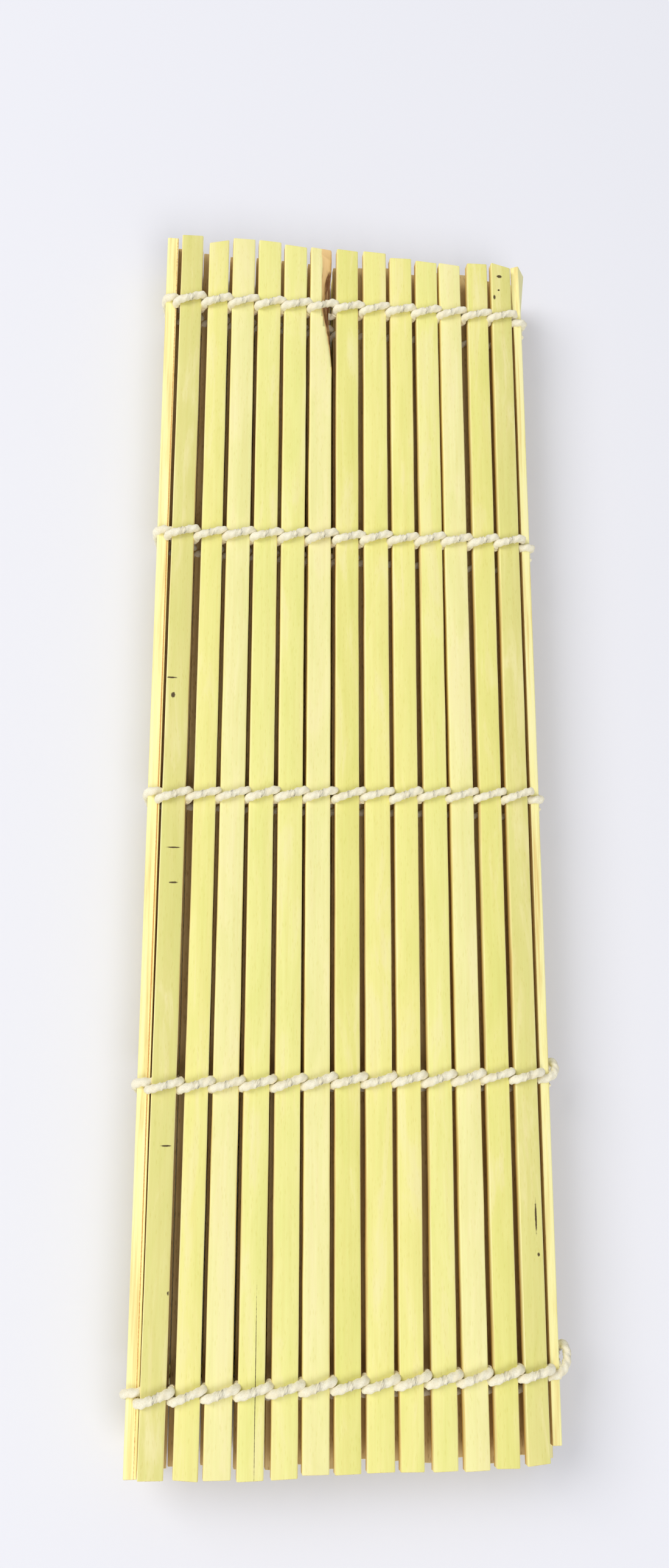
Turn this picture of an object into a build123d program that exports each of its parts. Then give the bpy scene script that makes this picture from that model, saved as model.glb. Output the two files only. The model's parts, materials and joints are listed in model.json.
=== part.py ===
"""Sushi rolling mat of flat bamboo slats twined with cotton string, folded in three layers.

Millimetres. X runs across the slats, Y along them and Z up through the layers. The origin is
under the centre of the folded mat. The middle layer stays put. The front layer lies on top of it,
joined by a slat that stands on edge at the left, and the back layer lies below, joined at the right.
The front layer's last slat is bent down on edge above the right fold.
"""

import os

from build123d import *

os.makedirs("parts", exist_ok=True)

# Slats
slat_length = 240.0
slat_width = 4.6
slat_thickness = 2.0
slat_gap = 0.96
slat_bevel = 0.3
slats_per_layer = 13

# Strings: each row is a pair of strands that twine round every slat
string_width = 1.5
string_rise = 1.5
string_bevel = 0.45
string_slope_run = 0.9
leg_thickness = 0.18
string_rows = 5
row_end_margin = 15.0
pair_clearance = 0.2
knot_length = 2.4
knot_height = 2.4
knot_bevel = 0.6

# Clearances of the folds
layer_clearance = 0.2
edge_slat_clearance = 0.2
fold_slat_clearance = 0.15
fold_string_clearance = 0.15
fold_string_rise_share = 0.6

# Worked out from the sizes above. The layers lie as far apart as stacked strings need, or as two
# slats on edge, one above the other at the right side, need with their ties.
pitch = slat_width + slat_gap
half_pitch = pitch / 2
half_width = slat_width / 2
half_thickness = slat_thickness / 2
stacked_rise = slat_thickness + 2 * string_rise + layer_clearance
on_edge_rise = slat_width + 2 * leg_thickness + edge_slat_clearance
layer_rise = max(stacked_rise, on_edge_rise)
row_spacing = (slat_length - 2 * row_end_margin) / (string_rows - 1)
strand_offset = (string_width + pair_clearance) / 2
strand_slant = strand_offset / half_pitch
leg_end = half_width + leg_thickness
back_z = half_thickness + string_rise
middle_z = back_z + layer_rise
front_z = middle_z + layer_rise
fold_gap_x = slats_per_layer * half_pitch

# A fold slat turns a quarter about an axis near the gap, so that it ends up beside the layers
fold_spread = (layer_rise - pitch) / 2
fold_reach = half_thickness - slat_gap / 2 + fold_slat_clearance
fold_axis_inward = (fold_reach + fold_spread) / 2
fold_axis_outward = (fold_reach - fold_spread) / 2
fold_slat_x = fold_gap_x + fold_axis_outward + fold_axis_inward
fold_face_height = half_thickness - fold_axis_inward
layer_side_start = half_pitch + fold_axis_outward - fold_face_height - fold_string_clearance
fold_side_start = half_pitch - fold_axis_outward - fold_face_height - fold_string_clearance
fold_string_rise = fold_side_start * fold_string_rise_share


def prism(points, travel):
    """A solid made by moving a flat outline along one direction."""
    outline = Wire.make_polygon([Vector(*point) for point in points], close=True)
    return Solid.extrude(Face(outline), Vector(*travel))


def make_slat():
    """One slat along Y with its skin side up and the skin's long edges eased."""
    start = -slat_length / 2
    section = [
        (-half_width, start, -half_thickness),
        (half_width, start, -half_thickness),
        (half_width, start, half_thickness - slat_bevel),
        (half_width - slat_bevel, start, half_thickness),
        (slat_bevel - half_width, start, half_thickness),
        (-half_width, start, half_thickness - slat_bevel),
    ]
    return prism(section, (0, slat_length, 0))


def strand_side(end, leg_depth, slope_run, rise):
    """Profile points of one end of a strand, from the slat's face or leg up to its crown."""
    crown = half_thickness + rise
    if leg_depth:
        return [
            (half_width, half_thickness),
            (half_width, half_thickness - leg_depth),
            (end, half_thickness - leg_depth),
            (end, half_thickness),
            (end - slope_run, crown),
        ]
    return [(end, half_thickness), (end - slope_run, crown)]


def make_strand(left, right, rise=string_rise, eased=False):
    """A strand over the upper face of a slat. It slants along Y and dives at both ends."""
    right_points = strand_side(*right, rise)
    left_points = [(-x, z) for x, z in strand_side(*left, rise)]
    profile = right_points + left_points[::-1]
    near_side = [(x, strand_slant * x - string_width / 2, z) for x, z in profile]
    body = prism(near_side, (0, string_width, 0))
    if not eased:
        return body
    start = -pitch
    low = -slat_thickness
    crown = half_thickness + rise
    shoulder = crown - string_bevel
    side = string_width / 2
    section = [
        (start, start * strand_slant - side, low),
        (start, start * strand_slant + side, low),
        (start, start * strand_slant + side, shoulder),
        (start, start * strand_slant + side - string_bevel, crown),
        (start, start * strand_slant - side + string_bevel, crown),
        (start, start * strand_slant - side, shoulder),
    ]
    envelope = prism(section, (2 * pitch, 2 * pitch * strand_slant, 0))
    return (body & envelope).solid()


def make_knot(height):
    """A knot of both strands of a row."""
    knot = Box(knot_length, string_width + 2 * strand_offset, height)
    return chamfer(knot.edges(), knot_bevel).solid()


# The ends a strand can have: how far it reaches, how deep its leg goes, the run of its slope
full_leg = (leg_end, slat_thickness, string_slope_run)
half_leg = (leg_end, half_thickness, string_slope_run)
no_leg = (leg_end, 0, string_slope_run)
layer_fold_end = (layer_side_start, 0, string_rise)
fold_slat_end = (fold_side_start, 0, fold_string_rise)
woven_end = (half_pitch, 0, string_slope_run)

slat = make_slat()
turned_over = Rot(180, 0, 0)
upside_down = Rot(0, 180, 0)
skin_down = turned_over * slat
row_places = [(row - (string_rows - 1) / 2) * row_spacing for row in range(string_rows)]

outer_strand = make_strand(full_leg, full_leg, eased=True)
first_outer_strand = make_strand(half_leg, full_leg, eased=True)
last_outer_strand = make_strand(full_leg, half_leg, eased=True)
inner_strand = make_strand(no_leg, no_leg)
first_inner_strand = make_strand(layer_fold_end, no_leg)
last_inner_strand = make_strand(no_leg, layer_fold_end)
fold_inner_strand = make_strand(fold_slat_end, fold_slat_end, rise=fold_string_rise)
side_knot = Pos(leg_end + knot_length / 2, 0, 0) * make_knot(knot_height)
face_knot = Pos(leg_end - knot_length / 2, 0, half_thickness + string_rise / 2) * make_knot(string_rise)
knotted_strand = last_outer_strand.fuse(face_knot).solid()


def in_rows(solids):
    """Copies of the solids of one tie in every row of string."""
    return [Pos(0, place, 0) * solid for place in row_places for solid in solids]


def outer_layer_parts(layer, own_slat, bent_end):
    """Flat slats and ties of the layer on top, numbered from its fold to its other end."""
    parts = {}
    for index in range(slats_per_layer):
        place = Pos((index - (slats_per_layer - 1) / 2) * pitch, 0, front_z)
        last = index == slats_per_layer - 1
        upper = first_outer_strand if index == 0 else outer_strand
        lower = first_inner_strand if index == 0 else inner_strand
        if last and bent_end:
            upper = last_outer_strand
            lower = last_inner_strand
        tie = [upper, turned_over * lower]
        if last and not bent_end:
            tie.append(side_knot)
        number = f"{index + 1:02d}"
        parts[f"{layer}_slat_{number}"] = [place * own_slat]
        parts[f"{layer}_ties_{number}"] = [place * solid for solid in in_rows(tie)]
    return parts


def fold_parts(side, own_slat):
    """The slat that stands on edge at the left fold, with its ties."""
    place = Pos(-fold_slat_x, 0, (middle_z + front_z) / 2) * Rot(0, 90, 0)
    tie = [fold_inner_strand, turned_over * outer_strand]
    return {
        f"{side}_fold_slat": [place * own_slat],
        f"{side}_fold_ties": [place * solid for solid in in_rows(tie)],
    }


def bent_end_parts(layer, own_slat):
    """The last slat of the layer on top, which hangs on edge at its right side, with its ties."""
    place = Pos(fold_slat_x, 0, (middle_z + front_z) / 2) * Rot(0, 90, 0)
    tie = [knotted_strand, turned_over * fold_inner_strand]
    number = slats_per_layer + 1
    return {
        f"{layer}_slat_{number}": [place * own_slat],
        f"{layer}_ties_{number}": [place * solid for solid in in_rows(tie)],
    }


def middle_string(first_up):
    """One strand that weaves over and under the slats of the middle layer, in one piece."""
    pieces = []
    for index in range(slats_per_layer):
        over = (index % 2 == 0) == first_up
        left = woven_end
        right = woven_end
        if index == 0:
            left = layer_fold_end if over else half_leg
        if index == slats_per_layer - 1:
            right = layer_fold_end
        strand = make_strand(left, right)
        x = (index - (slats_per_layer - 1) / 2) * pitch
        pieces.append(Pos(x, 0, 0) * (strand if over else turned_over * strand))
        if index < slats_per_layer - 1:
            side = strand_offset if over else -strand_offset
            drop = Box(slat_gap, string_width, slat_thickness)
            pieces.append(Pos(x + half_pitch, side, 0) * drop)
    return (pieces[0].fuse(*pieces[1:])).solid()


def middle_parts():
    """The slats and strings of the middle layer, skin side down."""
    slats = []
    for index in range(slats_per_layer):
        place = Pos((index - (slats_per_layer - 1) / 2) * pitch, 0, middle_z)
        slats.append(place * skin_down)
    pair = [middle_string(True), middle_string(False)]
    strings = [Pos(0, 0, middle_z) * solid for solid in in_rows(pair)]
    return {"middle_slats": slats, "middle_strings": strings}


def turned_about_middle(parts):
    """The same parts turned half round about the long axis of the middle layer."""
    turn = Pos(0, 0, middle_z) * upside_down * Pos(0, 0, -middle_z)
    return {name: [turn * solid for solid in solids] for name, solids in parts.items()}


def all_parts():
    """Every named sub-part. The skin side faces up, down and up again through the layers."""
    parts = middle_parts()
    parts.update(fold_parts("left", skin_down))
    parts.update(outer_layer_parts("front", slat, bent_end=True))
    parts.update(bent_end_parts("front", slat))
    parts.update(turned_about_middle(fold_parts("right", slat)))
    parts.update(turned_about_middle(outer_layer_parts("back", skin_down, bent_end=False)))
    return parts


for name, solids in all_parts().items():
    export_step(Compound(solids), f"parts/{name}.step")
print(f"fold axes: {fold_gap_x + fold_axis_outward:.4f} across, {middle_z:.4f} middle,")
print(f"{fold_axis_inward:.4f} inward of a layer's centre, layers {layer_rise:.4f} apart")
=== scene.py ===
"""Sushi rolling mat of flat bamboo slats twined with cotton string, folded in three layers.

Metres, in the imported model's frame: X across the slats, Y along them, Z up through the layers.
Each slat and each set of ties is modelled once as a pattern, then copied, varied and put in place.
"""

import json
import math
import random

import bmesh
import bpy
from bpy.props import FloatProperty, FloatVectorProperty, IntProperty, PointerProperty
from mathutils import Matrix, Vector, noise

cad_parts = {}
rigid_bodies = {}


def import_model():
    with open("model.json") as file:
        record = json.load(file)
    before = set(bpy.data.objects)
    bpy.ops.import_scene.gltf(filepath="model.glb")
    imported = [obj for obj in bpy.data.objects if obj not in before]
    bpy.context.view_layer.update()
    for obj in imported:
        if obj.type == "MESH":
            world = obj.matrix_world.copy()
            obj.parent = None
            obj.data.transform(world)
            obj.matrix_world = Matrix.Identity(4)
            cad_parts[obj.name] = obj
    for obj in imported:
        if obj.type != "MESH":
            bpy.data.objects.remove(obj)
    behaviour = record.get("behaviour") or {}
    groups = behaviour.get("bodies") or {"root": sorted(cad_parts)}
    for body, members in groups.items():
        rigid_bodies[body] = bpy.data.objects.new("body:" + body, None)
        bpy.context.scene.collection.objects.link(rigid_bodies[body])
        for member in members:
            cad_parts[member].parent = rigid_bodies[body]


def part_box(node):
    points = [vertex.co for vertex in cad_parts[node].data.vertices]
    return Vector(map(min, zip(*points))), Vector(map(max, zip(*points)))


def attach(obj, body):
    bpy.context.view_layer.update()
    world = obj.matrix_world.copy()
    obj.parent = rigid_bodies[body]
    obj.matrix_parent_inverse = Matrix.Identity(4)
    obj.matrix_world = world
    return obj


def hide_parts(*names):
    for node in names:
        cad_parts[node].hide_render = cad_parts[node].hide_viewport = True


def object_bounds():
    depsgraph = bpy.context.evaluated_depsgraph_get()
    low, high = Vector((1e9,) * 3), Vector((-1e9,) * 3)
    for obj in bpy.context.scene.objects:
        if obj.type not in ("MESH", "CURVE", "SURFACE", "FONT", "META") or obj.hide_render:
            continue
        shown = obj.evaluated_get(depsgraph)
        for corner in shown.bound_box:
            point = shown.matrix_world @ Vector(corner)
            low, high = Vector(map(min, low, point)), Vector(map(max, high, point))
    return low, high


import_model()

bl_info = {
    "name": "Sushi rolling mat",
    "version": (1, 0, 0),
    "blender": (4, 5, 0),
    "location": "View3D > Sidebar > Rolling mat",
    "description": "Dresses a folded bamboo rolling mat with slats, cotton twine and finishes",
    "category": "Object",
}

MM = 0.001
CAD_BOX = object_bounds()

# Read from the frame
slat_low, slat_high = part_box("front_slat_07")
SLAT_SIZE = slat_high - slat_low
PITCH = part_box("front_slat_08")[0].x - slat_low.x
FRONT_Z = (slat_low.z + slat_high.z) / 2
MIDDLE_Z = sum(corner.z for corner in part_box("middle_slats")) / 2
FOLD_X = sum(corner.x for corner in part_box("right_fold_slat")) / 2
FOLD_Z = sum(corner.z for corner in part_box("left_fold_slat")) / 2
STRING_RISE = CAD_BOX[1][2] - slat_high.z
LAYER_SLATS = 13
LAYER_NUMBERS = range(1, LAYER_SLATS + 1)
EDGE_SLAT = LAYER_SLATS + 1
HALF_WIDTH = SLAT_SIZE.x / 2
HALF_LENGTH = SLAT_SIZE.y / 2
HALF_THICKNESS = SLAT_SIZE.z / 2
HALF_PITCH = PITCH / 2

# Rows of string, from the near end to the far end
ROW_SPACING = 52.5 * MM
STRAND_OFFSET = 0.85 * MM
FRONT_ROW_SHIFTS = [-0.4 * MM, -1.6 * MM, -0.5 * MM, 0.45 * MM, 0.4 * MM]
ROWS = len(FRONT_ROW_SHIFTS)
FRONT_SKEW = 0.18 * MM
INNER_ROW_SHIFT = -2.2 * MM

# Slats of the front layer from left to right, in millimetres: width at the far and near end, shift to
# the right there, how much the far and near end are short, rise of the far end to the right, and tone
FRONT_SLATS = [
    (4.4, 4.4, 0.1, -0.28, 0.3, 0.6, 0.2, "khaki"),
    (4.1, 4.25, 0.15, 0.0, 1.2, 0.4, 1.1, "straw"),
    (4.65, 4.7, -0.15, -0.3, 0.0, 0.3, 0.1, "pale"),
    (4.75, 4.6, -0.2, -0.25, 0.0, 0.0, -0.2, "fresh"),
    (4.75, 4.55, -0.25, 0.0, 0.6, 0.1, -0.3, "fresh"),
    (4.5, 4.75, -0.35, -0.2, 0.5, 0.6, 0.1, "pale"),
    (4.6, 4.6, -0.3, -0.2, 0.5, 0.5, -0.2, "green"),
    (4.85, 4.85, 0.05, -0.05, 0.4, 0.6, -0.1, "straw"),
    (4.7, 4.25, 0.15, -0.15, 1.3, 0.5, 0.2, "straw"),
    (4.65, 4.4, 0.2, 0.15, 1.6, 0.4, -0.2, "fresh"),
    (4.6, 4.5, -0.25, 0.2, 1.7, 0.3, -0.3, "pale"),
    (4.45, 4.25, 0.3, 0.1, 0.9, 0.5, 0.2, "green"),
    (4.25, 4.15, 0.05, 0.05, 0.8, 0.9, -1.0, "khaki"),
    (4.5, 4.4, 0.0, 0.0, 0.0, 3.6, 0.2, "pale"),
]
OTHER_TONES = ["straw", "fresh", "pale", "green", "khaki"]
FOLD_SLAT = (4.6, 4.6, 0.0, 0.0, 0.5, 0.4, 0.2, "pale")
FOLD_THICKENING = 1.15
FOLD_OUTWARD = (0.2 * MM, 0.55 * MM)
MIDDLE_WIDENING = 1.1
MIDDLE_SHIFT = 0.3 * MM
MIDDLE_LEANS = {1: 0.22 * MM, 2: -0.22 * MM}  # how much further one side of these slats reaches
EDGE_THINNING = 0.88
EDGE_OUTWARD = 0.26 * MM
EDGE_RAISE = 0.4 * MM
EDGE_TWIST = math.radians(32)
EDGE_TWIST_START = 100 * MM
EDGE_TWIST_OUTWARD = 0.9 * MM

# The torn far right corner of the front layer's sixth slat. At each place along the slat: the shares of
# the width that the skin, the shallow torn wood beside it and the deep torn wood reach
SPLIT_SLAT = 6
SPLIT_OUTLINE = [
    (120 * MM, 0.5, 1.0, 1.02),
    (116 * MM, 0.52, 0.95, 1.02),
    (113 * MM, 0.5, 0.72, 0.98),
    (108 * MM, 0.52, 0.6, 0.92),
    (105 * MM, 0.5, 0.6, 0.86),
    (100 * MM, 0.72, 0.8, 0.95),
    (96 * MM, 0.88, 0.97, 1.0),
    (90 * MM, 1.02, 1.03, 1.03),
]
SPLIT_DEPTH = 0.5 * MM
SPLIT_DEEP = 1.1 * MM
SPLIT_WANDER = 0.16 * MM
SPLIT_RIDGES = 0.3 * MM

# How a slat's shape wanders: the length of its ripples, the part of its length at each end that slants,
# and the share of the far end's slant that the near end has
RIPPLE_LENGTH = 9 * MM
SLANTED_PART = 1 / 12
NEAR_SLANT = 0.2

# Faces that meet at less than this angle are shaded as one, and a point past this share of a half size
# counts as on the slat's edge
SMOOTH_ANGLE = math.radians(35)
NEARLY = 0.999

# The orange line along the left fold slat's upper side: centre and half size in millimetres
FOLD_LINE = ((-36.4, 0.0, 12.6), (0.11, 118.0, 0.8))

# Dark flecks on the skin side of the front layer, in millimetres: place across and along, half width
# and half length
FLECKS = [
    (33.0, 116.4, 0.5, 0.32),
    (32.8, 113.0, 0.22, 0.2),
    (31.8, 111.2, 0.24, 0.5),
    (-34.6, 21.5, 0.9, 0.16),
    (-34.2, 18.0, 0.35, 0.5),
    (-33.2, -11.8, 1.1, 0.13),
    (-33.0, -18.4, 0.7, 0.16),
    (-32.8, -65.5, 0.8, 0.14),
    (-16.3, -106.0, 0.06, 14.0),
    (-31.6, -90.0, 0.2, 0.3),
    (34.2, -78.0, 0.16, 2.4),
    (34.5, -84.5, 0.2, 0.3),
]
SKIN_HEIGHT = 13.9
FLECK_HALF_HEIGHT = 0.3


def srgb(red, green, blue):
    """A colour given in screen values from 0 to 255, as linear values."""
    return [((value / 255 + 0.055) / 1.055) ** 2.4 for value in (red, green, blue)]


TONES = {
    "khaki": srgb(234, 227, 147),
    "straw": srgb(249, 242, 156),
    "pale": srgb(251, 244, 176),
    "fresh": srgb(247, 242, 158),
    "green": srgb(242, 236, 147),
}


class SlatSettings(bpy.types.PropertyGroup):
    """Sizes of the slats that the frame doesn't fix."""

    skin_round: FloatProperty(
        name="Skin edge", description="Rounding of the skin's long edges", default=0.3 * MM, unit="LENGTH"
    )
    back_round: FloatProperty(
        name="Other edges", description="Rounding of the other edges", default=0.07 * MM, unit="LENGTH"
    )
    bow: FloatProperty(
        name="Bow", description="How far a slat's middle wanders sideways", default=0.12 * MM, unit="LENGTH"
    )
    ripple: FloatProperty(
        name="Ripple", description="Unevenness of the split sides", default=0.05 * MM, unit="LENGTH"
    )
    cuts: IntProperty(
        name="Cuts", description="Cuts across a slat that let it bend", default=59, min=9, max=120
    )
    torn_cuts: IntProperty(
        name="Torn cuts", description="Cuts across the torn slat", default=159, min=59, max=300
    )


class TwineSettings(bpy.types.PropertyGroup):
    """Sizes of the cotton twine."""

    radius: FloatProperty(
        name="Radius", description="Largest radius of the twine", default=0.86 * MM, unit="LENGTH"
    )
    ply_depth: FloatProperty(
        name="Ply depth", description="Groove between the plies, as a share", default=0.1, min=0, max=0.4
    )
    turn_length: FloatProperty(
        name="Turn", description="Length in which the plies turn once", default=3.1 * MM, unit="LENGTH"
    )


class FinishSettings(bpy.types.PropertyGroup):
    """Colours of the finishes."""

    side_colour: FloatVectorProperty(
        name="Cut side", description="Split sides of the slats", default=srgb(255, 247, 174), subtype="COLOR"
    )
    inner_colour: FloatVectorProperty(
        name="Inner side", description="Flat inner side", default=srgb(224, 196, 138), subtype="COLOR"
    )
    split_colour: FloatVectorProperty(
        name="Split", description="Torn fibres of the corner", default=srgb(120, 78, 44), subtype="COLOR"
    )
    fleck_colour: FloatVectorProperty(
        name="Flecks", description="Dark flecks and fine cracks", default=srgb(86, 70, 40), subtype="COLOR"
    )
    twine_colour: FloatVectorProperty(
        name="Twine", description="Cotton twine", default=srgb(255, 249, 226), subtype="COLOR"
    )


class StageSettings(bpy.types.PropertyGroup):
    """Floor, lamps and camera."""

    floor_colour: FloatVectorProperty(
        name="Floor", description="Colour of the floor", default=srgb(238, 238, 246), subtype="COLOR"
    )
    key_power: FloatProperty(
        name="Key lamp", description="Power of the lamp at the far left", default=12.6, unit="POWER"
    )
    fill_power: FloatProperty(
        name="Fill lamp", description="Power of the lamp at the near right", default=11.0, unit="POWER"
    )
    sky_level: FloatProperty(name="Sky", description="Strength of the even light", default=0.45, min=0, max=2)
    lens: FloatProperty(name="Lens", description="Focal length of the camera", default=69.55, unit="CAMERA")


# Selecting and shaping


def only(piece):
    """Makes one object the only selected and the active one."""
    bpy.ops.object.select_all(action="DESELECT")
    piece.select_set(True)
    bpy.context.view_layer.objects.active = piece


def pick_edges(piece, wanted):
    """Selects in edit mode the edges whose two ends pass the test."""
    bpy.ops.mesh.select_mode(type="EDGE")
    bpy.ops.mesh.select_all(action="DESELECT")
    mesh = bmesh.from_edit_mesh(piece.data)
    for edge in mesh.edges:
        if wanted(edge.verts[0].co, edge.verts[1].co):
            edge.select_set(True)
    bmesh.update_edit_mesh(piece.data)


def smooth(piece):
    """Smooths the shading of an object, but not over its sharp edges."""
    only(piece)
    bpy.ops.object.shade_smooth_by_angle(angle=SMOOTH_ANGLE)


def gathered(name, shapes, materials):
    """One object made of placed copies of pattern meshes."""
    mesh = bpy.data.meshes.new(name)
    merged = bmesh.new()
    for pattern, place in shapes:
        copy = pattern.copy()
        copy.transform(place)
        merged.from_mesh(copy)
        bpy.data.meshes.remove(copy)
    merged.to_mesh(mesh)
    merged.free()
    piece = bpy.data.objects.new(name, mesh)
    bpy.context.collection.objects.link(piece)
    for material in materials:
        mesh.materials.append(material)
    return piece


def settle(piece, body, node):
    """Ties a finished piece to its body and hides the part of the model that it stands for."""
    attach(piece, body)
    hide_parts(node)


def kept_pattern(name, make):
    """The mesh of a pattern, modelled the first time that it is asked for."""
    mesh = bpy.data.meshes.get(name)
    if mesh:
        return mesh
    piece = make()
    mesh = piece.data
    mesh.name = name
    mesh.use_fake_user = True
    bpy.data.objects.remove(piece)
    return mesh


# Places of the slats: in a slat's own axes X runs across it, Y along it and Z to its upper side

TO_MIDDLE = Matrix.Translation((0, 0, MIDDLE_Z))
TURN_ABOUT_MIDDLE = TO_MIDDLE @ Matrix.Rotation(math.pi, 4, "Y") @ TO_MIDDLE.inverted()
TURN_OVER = Matrix.Rotation(math.pi, 4, "X")
ON_EDGE = Matrix.Rotation(math.pi / 2, 4, "Y")


def layer_x(number):
    """Place across the mat of a front or middle slat, numbered from 1 at the left."""
    return (number - (LAYER_SLATS + 1) / 2) * PITCH


def front_place(number):
    return Matrix.Translation((layer_x(number), 0, FRONT_Z))


def back_place(number):
    return TURN_ABOUT_MIDDLE @ front_place(number)


def left_fold_place():
    return Matrix.Translation((-FOLD_X, 0, FOLD_Z)) @ ON_EDGE


def right_fold_place():
    return TURN_ABOUT_MIDDLE @ left_fold_place()


def edge_place():
    return Matrix.Translation((FOLD_X, 0, FOLD_Z)) @ ON_EDGE


def row_y(row):
    return (row - (ROWS - 1) / 2) * ROW_SPACING


def front_row_y(row, number):
    """Place along the slats of a front row at a slat. The rows climb to the right."""
    return row_y(row) + FRONT_ROW_SHIFTS[row] + (number - EDGE_SLAT / 2) * FRONT_SKEW


def back_row_y(row, number):
    return row_y(row) + INNER_ROW_SHIFT * (LAYER_SLATS - number) / LAYER_SLATS


# Slats


def model_slat(cuts, runs):
    """A straight slat, skin side up, cut so that it can bend. Its faces know their finish."""
    sizes = bpy.context.scene.mat_slats
    bpy.ops.object.select_all(action="DESELECT")
    bpy.ops.mesh.primitive_cube_add(size=1)
    slat = bpy.context.object
    slat.scale = SLAT_SIZE
    bpy.ops.object.transform_apply(scale=True)
    bpy.ops.object.mode_set(mode="EDIT")
    pick_edges(slat, lambda a, b: abs(a.y - b.y) > HALF_LENGTH)
    bpy.ops.mesh.subdivide(number_cuts=cuts)
    pick_edges(slat, lambda a, b: min(a.z, b.z) > 0 and abs(a.y - b.y) > MM)
    bpy.ops.mesh.bevel(offset=sizes.skin_round, segments=3)
    pick_edges(slat, lambda a, b: max(a.z, b.z) < -HALF_THICKNESS * NEARLY and a.x * b.x > 0)
    bpy.ops.mesh.bevel(offset=sizes.back_round, segments=1)
    pick_edges(slat, lambda a, b: min(abs(a.y), abs(b.y)) > HALF_LENGTH * NEARLY)
    bpy.ops.mesh.bevel(offset=sizes.back_round, segments=1)
    pick_edges(slat, lambda a, b: abs(a.x - b.x) > HALF_WIDTH and abs(a.y) < HALF_LENGTH * NEARLY)
    bpy.ops.mesh.subdivide(number_cuts=runs)
    bpy.ops.object.mode_set(mode="OBJECT")
    for face in slat.data.polygons:
        face.material_index = slat_finish(face.normal)
    smooth(slat)
    return slat


def slat_finish(normal):
    """Which of the slat finishes a face takes: skin 0, cut side 1, inner side 2 or end 3."""
    if abs(normal.y) > 0.5:
        return 3
    if normal.z > 0.8:
        return 0
    if normal.z < -0.6:
        return 2
    return 1


def varied_slat(number, layer):
    """Widths, shifts, short ends, slant and tone of a slat. The front layer's are read from the object."""
    if layer in ("front", "left fold"):
        values = FRONT_SLATS[number - 1] if layer == "front" else FOLD_SLAT
        return [value * MM for value in values[:7]], values[7]
    chance = random.Random(f"{layer} slat {number}")
    width = SLAT_SIZE.x - chance.uniform(0, 0.3) * MM
    if layer == "middle":
        width *= MIDDLE_WIDENING
    values = [
        width,
        width + chance.uniform(-0.15, 0.1) * MM,
        chance.uniform(-0.08, 0.08) * MM,
        chance.uniform(-0.08, 0.08) * MM,
        chance.uniform(0, 1.6) * MM,
        chance.uniform(0, 1.4) * MM,
        chance.uniform(-0.4, 0.4) * MM,
    ]
    if layer == "middle" and number in MIDDLE_LEANS:
        lean = MIDDLE_LEANS[number]
        growth = (abs(lean), abs(lean), lean / 2, lean / 2)
        values[:4] = [value + more for value, more in zip(values, growth)]
    return values, chance.choice(OTHER_TONES)


def bend_slat(mesh, values, seed):
    """Gives a straight slat its own width, ends, slant, bow and uneven sides."""
    sizes = bpy.context.scene.mat_slats
    far_width, near_width, far_shift, near_shift, far_short, near_short, slant = values
    for vertex in mesh.vertices:
        place = vertex.co
        far_share = place.y / SLAT_SIZE.y + 0.5
        side = place.x / HALF_WIDTH
        bow = sizes.bow * math.sin(math.pi * far_share) * math.sin(seed * 2.4)
        ripple = sizes.ripple * noise.noise(Vector((side * 3 + seed * 7, place.y / RIPPLE_LENGTH, seed)))
        place.x = side * (near_width + (far_width - near_width) * far_share) / 2
        place.x += near_shift + (far_shift - near_shift) * far_share + bow + ripple
        scale = (SLAT_SIZE.y - far_short - near_short) / SLAT_SIZE.y
        near_end = max(0, 1 - far_share / SLANTED_PART)
        far_end = max(0, 1 - (1 - far_share) / SLANTED_PART)
        place.y = place.y * scale + (near_short - far_short) / 2
        place.y += min(slant * side / 2, far_short + abs(slant) / 2) * far_end
        place.y -= slant * side * NEAR_SLANT * near_end
    highest = max(vertex.co.y for vertex in mesh.vertices)
    if highest > HALF_LENGTH:
        for vertex in mesh.vertices:
            vertex.co.y = min(vertex.co.y, HALF_LENGTH - (highest - vertex.co.y) * 0.1)


def torn_edges(place_along):
    """Places across the torn slat where its skin, its shallow torn wood and its deep torn wood end."""
    for (far, *far_shares), (near, *near_shares) in zip(SPLIT_OUTLINE, SPLIT_OUTLINE[1:]):
        if place_along >= near:
            part = min(1, (place_along - near) / (far - near))
            shares = [low + (high - low) * part for low, high in zip(near_shares, far_shares)]
            return [(share * 2 - 1) * HALF_WIDTH for share in shares]
    return None


def split_corner(mesh):
    """Tears away the far right corner. The mark named split is 0 at the skin's edge, 1 at the deep wood."""
    marks = mesh.attributes.new("split", "FLOAT", "POINT")
    for index, vertex in enumerate(mesh.vertices):
        place = vertex.co
        edges = torn_edges(place.y)
        marks.data[index].value = -1.0
        if edges is None:
            continue
        skin_edge, shallow_edge, wood_edge = edges
        tear = noise.noise(Vector((0.7, place.y / (1.3 * MM), place.z / (0.4 * MM)))) * SPLIT_WANDER
        if place.x > skin_edge:
            past = (place.x - skin_edge) / (HALF_WIDTH * 1.001 - skin_edge)
            place.x = skin_edge + (wood_edge - skin_edge) * past + tear * past
        mark = (place.x - skin_edge - tear) / max(shallow_edge - skin_edge, 0.2 * MM)
        marks.data[index].value = mark
        if place.z > 0 and mark > 0:
            ridge = noise.noise(Vector((place.x / (0.35 * MM), place.y / (4 * MM), 0.3))) * SPLIT_RIDGES
            deep = min(1, max(0, mark - 0.9) * 2)
            place.z -= SPLIT_DEPTH * min(1, mark * 2) + SPLIT_DEEP * deep + abs(ridge) * min(1, mark * 3)


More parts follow.
